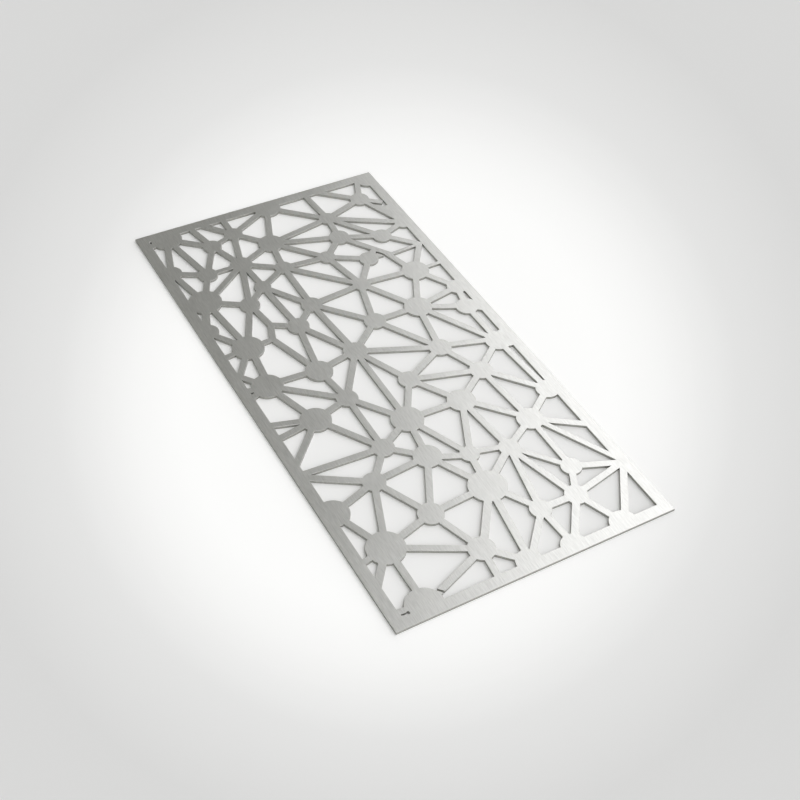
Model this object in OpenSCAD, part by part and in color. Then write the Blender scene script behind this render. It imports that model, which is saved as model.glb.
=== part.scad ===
// Laser cut metal screen: one flat sheet with a plain border around an irregular net of round
// hubs and straight bars. The sheet lies flat, its near edge toward -Y and its grain along Y.

/* [Sheet] */
// Width of the sheet, across its short side
panel_w = 300; // [240:10:900]
// Length of the sheet, along its grain
panel_l = 600; // [480:10:1800]
// Thickness of the sheet
sheet_t = 3; // [1.5:0.5:8]
// Width of the plain border
border_w = 12; // [10:0.5:18]

/* [Net] */
// Usual width of a bar between two hubs
bar_w = 7; // [5:0.25:9]
// Change to the diameter of every hub disc
disc_growth = 0; // [-3:0.5:4]

/* [Laser marks] */
// Diameter of the pierce hole left at the start of the shortest cut
pierce_d = 3.6; // [1:0.2:4]
// Width of the short cut that runs out from the pierce hole
kerf_w = 1.4; // [0.4:0.1:2]
// Width of the slit that parts a long free bar from the bar beside it
slit_w = 2.4; // [1.6:0.1:3]

/* [Hidden] */
steel = "silver";
// The tables below are for a sheet of this size with bars of this width. Their places stretch
// with the sheet, while discs keep their own size.
table_w = 300;
table_l = 600;
table_bar_w = 7;
disc_fn = 72;

// Every hub: its number, x and y from the near left corner, and disc diameter. A diameter of 0
// is a plain crossing of bars.
HUBS = [
    // Far left
    [1, 31.5, 585, 35],
    [2, 13.5, 526, 23.5],
    [3, 48, 507, 22],
    [4, 72.5, 550.5, 21],
    [5, 103, 561, 21],
    [6, 88.5, 507, 25],
    [7, 134, 527, 29],
    [8, 128, 482, 20],
    [9, 27, 466, 37],
    [10, 93, 462, 19],
    [11, 68, 441, 22.5],
    [12, 11.5, 420.5, 22],
    // Left, above the middle
    [13, 38, 380, 34],
    [14, 74, 402, 0],
    [15, 99.5, 387.5, 24],
    [16, 66.5, 380.5, 0],
    [17, 88, 316.5, 29],
    [18, 31.5, 320, 33],
    [19, 12, 344.5, 0],
    // Far right
    [21, 158, 589, 32],
    [22, 212.5, 540, 20],
    [23, 264, 557, 22.5],
    [24, 254, 484, 22],
    [25, 208.5, 503, 24],
    [28, 288.5, 496, 21],
    [29, 285, 452, 0],
    [30, 179.5, 477, 19.5],
    [32, 246, 450, 0],
    [33, 220.5, 454, 22],
    [34, 192, 418, 20],
    [35, 257, 412.5, 31],
    // Right, about the middle
    [36, 229, 358, 30.5],
    [37, 284, 368, 22],
    [38, 127.5, 412, 23],
    [39, 176, 358.5, 24],
    [40, 135, 326, 26],
    [41, 217, 291.5, 24.5],
    [42, 277, 335, 25],
    [44, 277.5, 273, 28],
    [46, 164, 264, 23],
    [47, 237.5, 242.5, 25],
    [48, 134.5, 216, 34],
    [49, 196, 214, 30],
    // Right, below the middle
    [50, 244, 161, 28.5],
    [51, 283.5, 188.5, 25],
    [53, 165, 148, 20],
    [54, 204, 138, 22],
    // Left, below the middle
    [55, 95, 268.5, 23],
    [56, 94.5, 193, 23],
    [57, 127, 164, 29],
    [58, 53.5, 256, 32],
    [60, 65.5, 158.5, 23.5],
    [61, 13.5, 141.5, 32],
    [62, 37, 84.5, 38],
    [63, 93.5, 100.5, 26],
    [65, 158.5, 105, 39],
    // Beside the near edge
    [66, 227.5, 57.5, 23.5],
    [67, 244, 89.5, 21.5],
    [68, 291, 71, 0],
    [69, 187.5, 58.5, 22],
    [71, 113.5, 44, 27],
    [72, 36.5, 14, 37],
    [73, 144.5, 12, 27],
    [74, 191, 8, 27],
    [75, 247.5, 9, 29]
];

// Ends of bars that have no hub: number, x and y. Those at or past an edge of the sheet only
// give a direction.
ENDS = [
    // Far edge
    [81, 58, 613],
    [82, 102.5, 605],
    [83, 208, 605],
    [84, 281, 597],
    // Right edge
    [85, 300, 413],
    [86, 292, 323],
    [87, 292, 128],
    // Near edge
    [88, 109.5, 5],
    // Left edge, from near to far
    [89, 0, 17.5],
    [90, 4, 43.5],
    [91, 5, 78],
    [92, 0, 198],
    [93, 0, 199],
    [94, 0, 201],
    [95, 0, 247.5],
    [96, 0, 272],
    [97, 0, 307],
    [98, 0, 323],
    [99, 0, 376],
    [100, 0, 577],
    // Starts beside the middle of a disc or crossing
    [101, 27, 463],
    [102, 9.5, 420],
    [103, 220.5, 455.5],
    [106, 244.7, 454.3],
    // Free ends
    [104, 285.4, 539.5],
    [105, 238, 454.1]
];

// Every bar: the numbers at its two ends, then its own width if that isn't the usual one, and
// how far it sits to its left, seen from its first end.
BARS = [
    // Far left
    [1, 2, 7.5], [1, 3], [1, 4], [1, 100, 8],
    [2, 3], [2, 9], [3, 4], [3, 6, 6], [3, 9],
    [4, 81], [4, 5, 5.5], [4, 6],
    [5, 81, 7.5], [5, 82], [5, 21], [5, 6], [5, 7],
    [6, 7], [6, 8], [6, 101], [6, 10, 7, 1.2], [6, 11],
    [7, 21], [7, 8], [7, 22], [7, 25], [7, 30],
    [8, 10], [8, 30], [8, 34], [8, 38],
    [9, 11], [9, 102, 8.5], [9, 13, 7, 0.7],
    [10, 11], [10, 15], [10, 38], [11, 13], [11, 14],
    // Left, above the middle
    [102, 13], [13, 99, 5.8], [13, 16, 6], [13, 19], [13, 18, 7.5, 2],
    [14, 16], [14, 15], [16, 17], [15, 17], [15, 38], [15, 40],
    [19, 18], [18, 98], [18, 97], [18, 17, 7, 1.7], [18, 55], [18, 58],
    [17, 40, 7, 0.8], [17, 55],
    // Far right
    [21, 22], [22, 83], [22, 23], [22, 24], [22, 25], [22, 28],
    [23, 83], [23, 84], [23, 104], [23, 28, 6],
    [24, 25], [24, 28], [24, 29], [25, 30], [25, 32],
    [30, 33], [30, 34], [103, 105], [33, 34],
    [32, 29, 4.3], [106, 35, 7, -1.7], [29, 35],
    // Right, about the middle
    [34, 35, 7, 1.4], [34, 36], [34, 38], [34, 39, 7, -1.2],
    [35, 36], [35, 37], [35, 85, 4.7],
    [36, 37], [36, 39], [36, 41], [36, 42], [36, 44], [37, 42, 7.5],
    [38, 39], [38, 40], [39, 40], [39, 41],
    [40, 41], [40, 46], [40, 48, 6.3, -0.4], [40, 55],
    [41, 44, 7, 2.5], [41, 46], [41, 47, 6.5],
    [42, 44], [42, 86], [44, 47, 7, -1], [44, 51],
    [46, 47], [46, 48], [46, 49], [47, 49], [47, 50], [47, 51],
    // Right, below the middle
    [48, 49], [48, 53, 6.6], [48, 55], [48, 56], [48, 57],
    [49, 50, 7, 1], [49, 53, 7, 0.7], [49, 54],
    [50, 51, 7.3], [50, 54], [50, 67, 6.5], [50, 68, 6, 2.3], [50, 87],
    [53, 57, 7, 1.7], [53, 54, 6.3, 1.7], [53, 65],
    [54, 65, 7.8], [54, 66, 7, -0.8], [54, 67, 6], [54, 69],
    // Left, below the middle
    [55, 56, 6.5], [55, 58], [56, 57], [56, 58], [56, 60], [56, 92],
    [57, 60], [57, 63], [57, 65], [58, 96], [58, 95], [58, 94],
    [60, 61], [60, 62], [60, 63], [60, 93, 7.5], [61, 62],
    [62, 63], [62, 71], [62, 72, 7, 1], [62, 91, 6.5], [62, 90, 7.8],
    [63, 65], [63, 71],
    // Beside the near edge
    [65, 69, 7, 0.7], [65, 71, 8, 1.6], [65, 73, 7.5, 1],
    [66, 67], [66, 68], [66, 69, 7.8], [66, 74, 7.8], [66, 75],
    [67, 68], [68, 75, 7.5, 1.2], [69, 73, 7, 1], [69, 74],
    [71, 72, 7, 0.7], [71, 73], [71, 88], [72, 89, 9.5]
];

// Places where the metal fills the gap between a hub and its neighbours: x, y, diameter
FILLS = [
    [290, 588, 26],
    [288, 273, 27],
    [229.5, 462, 8]
];

// Uncut corner between a bar and the right border
WEB = [[284, 500], [289.5, 500], [289.5, 532.5], [284, 532.5], [271.5, 542]];

// Slits that leave the tip of a bar free: both ends, and width as a share of slit_w
SLITS = [
    [[233.8, 459.5], [239.1, 452], 1],
    [[52, 25.8], [59.2, 17.3], 0.75]
];

// Short cut with a pierce hole near the near left corner
kerf_start = [12.8, 14.2];
pierce_at = [19.3, 13.4];

// Place of an x and y of the tables on the sheet
function place(x, y) = [x * panel_w / table_w, y * panel_l / table_l];

// Place of the hub or end with this number
function end_of(number, points = concat(HUBS, ENDS)) =
    let (row = points[search(number, points)[0]]) place(row[1], row[2]);

// A bar's own width, and its shift to the left; a row that leaves them out has the usual ones
function width_of(bar) = bar_w * (len(bar) > 2 ? bar[2] / table_bar_w : 1);
function shift_of(bar) = len(bar) > 3 ? bar[3] : 0;

// Straight strip from one point to another, moved to its left by shift
module strip(start, end, width, shift = 0) {
    along = end - start;
    translate(start)
        rotate(atan2(along[1], along[0]))
            translate([0, shift - width / 2])
                square([norm(along), width]);
}

module disc(x, y, diameter) {
    translate(place(x, y))
        circle(d = diameter, $fn = disc_fn);
}

module border() {
    difference() {
        square([panel_w, panel_l]);
        translate([border_w, border_w])
            square([panel_w - 2 * border_w, panel_l - 2 * border_w]);
    }
}

// Hubs, bars and fills. A plain crossing gets a disc as wide as its bars, which rounds it.
module net() {
    for (hub = HUBS)
        disc(hub[1], hub[2], hub[3] > 0 ? hub[3] + disc_growth : bar_w);
    for (bar = BARS)
        strip(end_of(bar[0]), end_of(bar[1]), width_of(bar), shift_of(bar));
    for (fill = FILLS)
        disc(fill[0], fill[1], fill[2]);
    polygon([for (corner = WEB) place(corner[0], corner[1])]);
}

module laser_marks() {
    for (slit = SLITS)
        strip(place(slit[0][0], slit[0][1]), place(slit[1][0], slit[1][1]), slit_w * slit[2]);
    strip(place(kerf_start[0], kerf_start[1]), place(pierce_at[0], pierce_at[1]), kerf_w);
    disc(pierce_at[0], pierce_at[1], pierce_d);
}

// The whole sheet, with its origin under its middle
module panel() {
    color(steel)
        translate([-panel_w / 2, -panel_l / 2, 0])
            linear_extrude(sheet_t)
                difference() {
                    intersection() {
                        union() {
                            border();
                            net();
                        }
                        square([panel_w, panel_l]);
                    }
                    laser_marks();
                }
}

panel();
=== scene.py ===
import math

import bmesh
import bpy
from mathutils import Matrix, Vector


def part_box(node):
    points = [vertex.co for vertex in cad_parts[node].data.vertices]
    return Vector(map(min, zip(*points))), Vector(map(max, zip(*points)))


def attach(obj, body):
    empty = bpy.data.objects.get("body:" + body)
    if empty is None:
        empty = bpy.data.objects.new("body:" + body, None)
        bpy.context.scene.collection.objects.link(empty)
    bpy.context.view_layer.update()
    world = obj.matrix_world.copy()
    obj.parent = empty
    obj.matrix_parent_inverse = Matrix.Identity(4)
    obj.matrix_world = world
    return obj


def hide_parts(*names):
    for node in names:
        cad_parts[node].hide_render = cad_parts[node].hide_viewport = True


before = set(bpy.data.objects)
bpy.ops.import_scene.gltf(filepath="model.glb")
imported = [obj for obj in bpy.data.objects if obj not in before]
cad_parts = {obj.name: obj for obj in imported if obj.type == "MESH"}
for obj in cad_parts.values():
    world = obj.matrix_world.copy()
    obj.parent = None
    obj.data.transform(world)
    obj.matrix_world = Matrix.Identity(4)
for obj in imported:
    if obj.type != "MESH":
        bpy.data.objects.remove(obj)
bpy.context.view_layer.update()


# Camera: a long lens beyond the near left corner of the sheet, looking down across it at 45
# degrees. The stand leaned a little, so the picture is turned by a few degrees.
LENS_MM = 58.0
SENSOR_MM = 36.0
CAMERA_PLACE = Vector((-0.496, -0.832, 0.916))
CAMERA_HEADING = math.radians(32.17)
CAMERA_DIP = math.radians(44.96)
CAMERA_LEAN = math.radians(3.75)

camera_data = bpy.data.cameras.new("camera")
camera_data.lens = LENS_MM
camera_data.sensor_width = SENSOR_MM
camera = bpy.data.objects.new("camera", camera_data)
bpy.context.scene.collection.objects.link(camera)
look = Vector(
    (
        math.sin(CAMERA_HEADING) * math.cos(CAMERA_DIP),
        math.cos(CAMERA_HEADING) * math.cos(CAMERA_DIP),
        -math.sin(CAMERA_DIP),
    )
)
camera.matrix_world = (
    Matrix.Translation(CAMERA_PLACE)
    @ look.to_track_quat("-Z", "Y").to_matrix().to_4x4()
    @ Matrix.Rotation(CAMERA_LEAN, 4, "Z")
)
bpy.context.scene.camera = camera
bpy.context.scene.view_settings.view_transform = "Standard"


# Sheet: 3 mm stainless steel with a brushed face, laser cut in one piece. Its outline and holes
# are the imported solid's, with the sharp arris of each cut eased as the burr is rubbed off.
MM = 0.001
ARRIS = 0.18 * MM
SMALLEST_STEP = 0.1 * MM
STRAIGHT_WITHIN = math.radians(1.0)
SHARP_FROM = math.radians(15.0)


def linear(code):
    """The linear colour of an sRGB hex code."""
    channels = [int(code[i : i + 2], 16) / 255 for i in (0, 2, 4)]
    return [
        c / 12.92 if c <= 0.04045 else ((c + 0.055) / 1.055) ** 2.4 for c in channels
    ] + [1.0]


def add(tree, kind, settings=None, links=None, stops=()):
    """A new node with its settings and links, and a colour ramp's stops from low to high."""
    node = tree.nodes.new(kind)
    for name, value in (settings or {}).items():
        if isinstance(name, int) or name in node.inputs:
            node.inputs[name].default_value = value
        else:
            setattr(node, name, value)
    for name, source in (links or {}).items():
        tree.links.new(source, node.inputs[name])
    for _ in stops[2:]:
        node.color_ramp.elements.new(1.0)
    for number, (position, code) in enumerate(stops):
        node.color_ramp.elements[number].position = position
        node.color_ramp.elements[number].color = linear(code)
    return node


# Brushed stainless steel: ground with a belt along the sheet's length, about grit 180, which
# gives a satin face with fine straight marks. A single mark is too fine for the picture, so these
# are bundles, each with a width and a length. Handling has left faint, wide smudges.
SHORT_MARK = (0.77 * MM, 11.1 * MM)
LONG_MARK = (1.67 * MM, 71.4 * MM)
SMUDGE = 40 * MM
SMUDGE_RANGE = (0.3, 0.7)
LONG_MARK_SHARE = 0.3
SMUDGE_SHARE = 0.2
MARK_TONES = ((0.45, "c2c2c0"), (1.0, "dddddb"))
MARK_DEPTH = 0.04 * MM
SMOOTHEST, ROUGHEST = 0.275, 0.295

brushed = bpy.data.materials.new("brushed_stainless_steel")
brushed.use_nodes = True
tree = brushed.node_tree
tree.nodes.clear()
on_sheet = add(tree, "ShaderNodeTexCoord")
short_place = add(
    tree,
    "ShaderNodeMapping",
    {"Scale": (1 / SHORT_MARK[0], 1 / SHORT_MARK[1], 1.0)},
    {"Vector": on_sheet.outputs["Object"]},
)
short_marks = add(
    tree,
    "ShaderNodeTexNoise",
    {"Scale": 1.0, "Detail": 3.0, "Roughness": 0.6},
    {"Vector": short_place.outputs["Vector"]},
)
long_place = add(
    tree,
    "ShaderNodeMapping",
    {"Scale": (1 / LONG_MARK[0], 1 / LONG_MARK[1], 1.0)},
    {"Vector": on_sheet.outputs["Object"]},
)
long_marks = add(
    tree,
    "ShaderNodeTexNoise",
    {"Scale": 1.0, "Detail": 2.0, "Roughness": 0.5},
    {"Vector": long_place.outputs["Vector"]},
)
grain = add(
    tree,
    "ShaderNodeMath",
    {"operation": "MULTIPLY_ADD", 1: LONG_MARK_SHARE},
    {0: long_marks.outputs["Fac"], 2: short_marks.outputs["Fac"]},
)
smudges = add(
    tree,
    "ShaderNodeTexNoise",
    {"Scale": 1 / SMUDGE, "Detail": 2.0},
    {"Vector": on_sheet.outputs["Object"]},
)
handled = add(
    tree,
    "ShaderNodeMath",
    {"operation": "MULTIPLY_ADD", 1: SMUDGE_SHARE},
    {0: smudges.outputs["Fac"], 2: grain.outputs["Value"]},
)
mark_tone = add(
    tree,
    "ShaderNodeValToRGB",
    links={"Fac": handled.outputs["Value"]},
    stops=MARK_TONES,
)
sheen = add(
    tree,
    "ShaderNodeMapRange",
    {
        "From Min": SMUDGE_RANGE[0],
        "From Max": SMUDGE_RANGE[1],
        "To Min": SMOOTHEST,
        "To Max": ROUGHEST,
    },
    {"Value": smudges.outputs["Fac"]},
)
mark_relief = add(
    tree,
    "ShaderNodeBump",
    {"Strength": 1.0, "Distance": MARK_DEPTH},
    {"Height": grain.outputs["Value"]},
)
across_grain = add(tree, "ShaderNodeTangent", {"direction_type": "UV_MAP"})
face = add(
    tree,
    "ShaderNodeBsdfPrincipled",
    {"Metallic": 1.0, "Anisotropic": 0.2},
    {
        "Base Color": mark_tone.outputs["Color"],
        "Roughness": sheen.outputs["Result"],
        "Normal": mark_relief.outputs["Normal"],
        "Tangent": across_grain.outputs["Tangent"],
    },
)
add(tree, "ShaderNodeOutputMaterial", links={"Surface": face.outputs["BSDF"]})

# Laser cut stainless steel, cut with nitrogen, which leaves the walls bright and matte, with fine
# upright drag lines. A line has a width along the cut and a height, which is more than the wall's.
DRAG_LINE = (0.333 * MM, 5 * MM)
DRAG_TONES = ((0.3, "9e9e99"), (0.7, "bcbcb7"))
DRAG_DEPTH = 0.05 * MM

laser_cut = bpy.data.materials.new("laser_cut_stainless_steel")
laser_cut.use_nodes = True
tree = laser_cut.node_tree
tree.nodes.clear()
on_wall = add(tree, "ShaderNodeTexCoord")
drag_place = add(
    tree,
    "ShaderNodeMapping",
    {"Scale": (1 / DRAG_LINE[0], 1 / DRAG_LINE[0], 1 / DRAG_LINE[1])},
    {"Vector": on_wall.outputs["Object"]},
)
drag_lines = add(
    tree,
    "ShaderNodeTexNoise",
    {"Scale": 1.0, "Detail": 2.0},
    {"Vector": drag_place.outputs["Vector"]},
)
drag_tone = add(
    tree,
    "ShaderNodeValToRGB",
    links={"Fac": drag_lines.outputs["Fac"]},
    stops=DRAG_TONES,
)
drag_relief = add(
    tree,
    "ShaderNodeBump",
    {"Strength": 0.4, "Distance": DRAG_DEPTH},
    {"Height": drag_lines.outputs["Fac"]},
)
wall = add(
    tree,
    "ShaderNodeBsdfPrincipled",
    {"Metallic": 1.0, "Roughness": 0.5},
    {
        "Base Color": drag_tone.outputs["Color"],
        "Normal": drag_relief.outputs["Normal"],
    },
)
add(tree, "ShaderNodeOutputMaterial", links={"Surface": wall.outputs["BSDF"]})

# The solid's loose triangles are joined into whole faces first, so that the bevel runs clean
# round each hole. The brushed finish covers both faces and the flatter half of each arris.
FLAT_FROM = 0.5
UPRIGHT_UP_TO = 0.1
low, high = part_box("panel")
work = bmesh.new()
work.from_mesh(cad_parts["panel"].data)
bmesh.ops.remove_doubles(work, verts=work.verts, dist=SMALLEST_STEP)
bmesh.ops.dissolve_limit(
    work, angle_limit=STRAIGHT_WITHIN, verts=work.verts, edges=work.edges
)
arrises = [
    e
    for e in work.edges
    if len(e.link_faces) == 2
    and sorted(abs(f.normal.z) > FLAT_FROM for f in e.link_faces) == [False, True]
]
bmesh.ops.bevel(
    work,
    geom=arrises,
    offset=ARRIS,
    segments=2,
    profile=0.5,
    affect="EDGES",
    material=-1,
    loop_slide=False,
)
bmesh.ops.triangulate(work, faces=work.faces)
for e in work.edges:
    e.smooth = e.calc_face_angle(math.pi) < SHARP_FROM
uv = work.loops.layers.uv.new("across_grain")
for f in work.faces:
    f.material_index = 0 if abs(f.normal.z) > FLAT_FROM else 1
    f.smooth = abs(f.normal.z) < UPRIGHT_UP_TO
    for loop in f.loops:
        loop[uv].uv = (
            (loop.vert.co.x - low.x) / (high.x - low.x),
            (loop.vert.co.y - low.y) / (high.y - low.y),
        )
mesh = bpy.data.meshes.new("screen_sheet")
work.to_mesh(mesh)
work.free()
mesh.materials.append(brushed)
mesh.materials.append(laser_cut)
sheet = bpy.data.objects.new("screen_sheet", mesh)
bpy.context.scene.collection.objects.link(sheet)
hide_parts("panel")
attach(sheet, "root")


# Floor: matte white paper rolled out far beyond the sheet. A pool of light is painted on it: white
# round the sheet and fading to a pale grey, turned with the camera stand and widening to the back.
FLOOR_REACH = 12.0
FLOOR_GAP = 0.05 * MM
POOL_CENTRE = (-0.01, -0.055, 0.0)
POOL_TURN = math.radians(32.0)
POOL_SIDE_SCALE = 1.4
# The pool would narrow to a point this far before its centre. The fade follows the distance from
# the centre as a share of the distance from that point.
POOL_POINT = 1.85
LEAST_WIDTH = 0.3
PAINTED_POOL_FADE = ((0.165, "ffffff"), (0.2, "f9f9f9"), (0.26, "e6e6e6"), (0.34, "dadada"))

floor_mesh = bpy.data.meshes.new("floor")
work = bmesh.new()
bmesh.ops.create_grid(work, x_segments=1, y_segments=1, size=FLOOR_REACH)
bmesh.ops.translate(work, verts=work.verts, vec=(0.0, 0.0, -FLOOR_GAP))
work.to_mesh(floor_mesh)
work.free()
floor = bpy.data.objects.new("floor", floor_mesh)
bpy.context.scene.collection.objects.link(floor)

paper = bpy.data.materials.new("matte_white_paper")
paper.use_nodes = True
tree = paper.node_tree
tree.nodes.clear()
on_floor = add(tree, "ShaderNodeTexCoord")
from_centre = add(
    tree,
    "ShaderNodeVectorMath",
    {"operation": "SUBTRACT", 1: POOL_CENTRE},
    {0: on_floor.outputs["Object"]},
)
turned = add(
    tree,
    "ShaderNodeMapping",
    {"Rotation": (0.0, 0.0, POOL_TURN)},
    {"Vector": from_centre.outputs["Vector"]},
)
squeezed = add(
    tree,
    "ShaderNodeVectorMath",
    {"operation": "MULTIPLY", 1: (POOL_SIDE_SCALE, 1.0, 0.0)},
    {0: turned.outputs["Vector"]},
)
away = add(
    tree,
    "ShaderNodeVectorMath",
    {"operation": "LENGTH"},
    {0: squeezed.outputs["Vector"]},
)
backward = add(
    tree,
    "ShaderNodeSeparateXYZ",
    links={"Vector": squeezed.outputs["Vector"]},
)
from_point = add(
    tree,
    "ShaderNodeMath",
    {"operation": "ADD", 1: POOL_POINT},
    {0: backward.outputs["Y"]},
)
pool_width = add(
    tree,
    "ShaderNodeMath",
    {"operation": "MAXIMUM", 1: LEAST_WIDTH},
    {0: from_point.outputs["Value"]},
)
pool = add(
    tree,
    "ShaderNodeMath",
    {"operation": "DIVIDE"},
    {0: away.outputs["Value"], 1: pool_width.outputs["Value"]},
)
# Painted light: the paper's colour is the painted pool, white round the sheet and grey further
# out.
painted_pool_of_light = add(
    tree,
    "ShaderNodeValToRGB",
    links={"Fac": pool.outputs["Value"]},
    stops=PAINTED_POOL_FADE,
)

# Painted light: the open paper glows a little for the camera only, so the paper under the sheet
# looks darker, as painted shade under the sheet. The change lies hidden below the border.
OPEN_PAPER_PAINTED_GLOW = 0.13
LIFT_STARTS, LIFT_ENDS = -10 * MM, -2 * MM
half_sheet = (high - low) / 2
folded = add(
    tree,
    "ShaderNodeVectorMath",
    {"operation": "ABSOLUTE"},
    {0: on_floor.outputs["Object"]},
)
past_edges = add(
    tree,
    "ShaderNodeVectorMath",
    {"operation": "SUBTRACT", 1: (half_sheet.x, half_sheet.y, 0.0)},
    {0: folded.outputs["Vector"]},
)
past_sides = add(
    tree,
    "ShaderNodeSeparateXYZ",
    links={"Vector": past_edges.outputs["Vector"]},
)
outside = add(
    tree,
    "ShaderNodeMath",
    {"operation": "MAXIMUM"},
    {0: past_sides.outputs["X"], 1: past_sides.outputs["Y"]},
)
open_paper_glow = add(
    tree,
    "ShaderNodeMapRange",
    {"From Min": LIFT_STARTS, "From Max": LIFT_ENDS, "To Max": OPEN_PAPER_PAINTED_GLOW},
    {"Value": outside.outputs["Value"]},
)
# The painted glow shows to camera rays only.
floor_ray = add(tree, "ShaderNodeLightPath")
painted_glow = add(
    tree,
    "ShaderNodeMath",
    {"operation": "MULTIPLY"},
    {0: open_paper_glow.outputs["Result"], 1: floor_ray.outputs["Is Camera Ray"]},
)
matte = add(
    tree,
    "ShaderNodeBsdfPrincipled",
    {"Roughness": 1.0, "Specular IOR Level": 0.0},
    {
        "Base Color": painted_pool_of_light.outputs["Color"],
        "Emission Color": painted_pool_of_light.outputs["Color"],
        "Emission Strength": painted_glow.outputs["Value"],
    },
)
add(tree, "ShaderNodeOutputMaterial", links={"Surface": matte.outputs["BSDF"]})
floor_mesh.materials.append(paper)


# Studio light: a white tent lit from its right side. The cloth glows most where the lit part
# begins, a little right of straight ahead, where the near right corner of the face mirrors it.
# The camera itself sees plain paper above the floor.
BORDER_HEADING = math.radians(34.5)
BORDER_SLOPE = 0.275
BORDER_PLACE = -0.165
LIT_WIDTH = 0.31
CLOTH_TONES = ((0.0, "646461"), (0.03, "ffffff"), (1.0, "c2c2c2"))
GLOW = 2.36
PAPER_BEYOND = "d9d9d9"

tent = bpy.data.worlds.new("light_tent")
bpy.context.scene.world = tent
tent.use_nodes = True
tree = tent.node_tree
tree.nodes.clear()
outward = add(tree, "ShaderNodeTexCoord")
to_right = add(
    tree,
    "ShaderNodeVectorMath",
    {
        "operation": "DOT_PRODUCT",
        1: (math.cos(BORDER_HEADING), -math.sin(BORDER_HEADING), -BORDER_SLOPE),
    },
    {0: outward.outputs["Object"]},
)
past_border = add(
    tree,
    "ShaderNodeMapRange",
    {"From Min": BORDER_PLACE, "From Max": BORDER_PLACE + LIT_WIDTH},
    {"Value": to_right.outputs["Value"]},
)
cloth = add(
    tree,
    "ShaderNodeValToRGB",
    links={"Fac": past_border.outputs["Result"]},
    stops=CLOTH_TONES,
)
glow = add(
    tree,
    "ShaderNodeBackground",
    {"Strength": GLOW},
    {"Color": cloth.outputs["Color"]},
)
paper_beyond = add(
    tree,
    "ShaderNodeBackground",
    {"Color": linear(PAPER_BEYOND), "Strength": 1.0},
)
world_ray = add(tree, "ShaderNodeLightPath")
seen = add(
    tree,
    "ShaderNodeMixShader",
    links={
        0: world_ray.outputs["Is Camera Ray"],
        1: glow.outputs["Background"],
        2: paper_beyond.outputs["Background"],
    },
)
add(tree, "ShaderNodeOutputWorld", links={"Surface": seen.outputs["Shader"]})
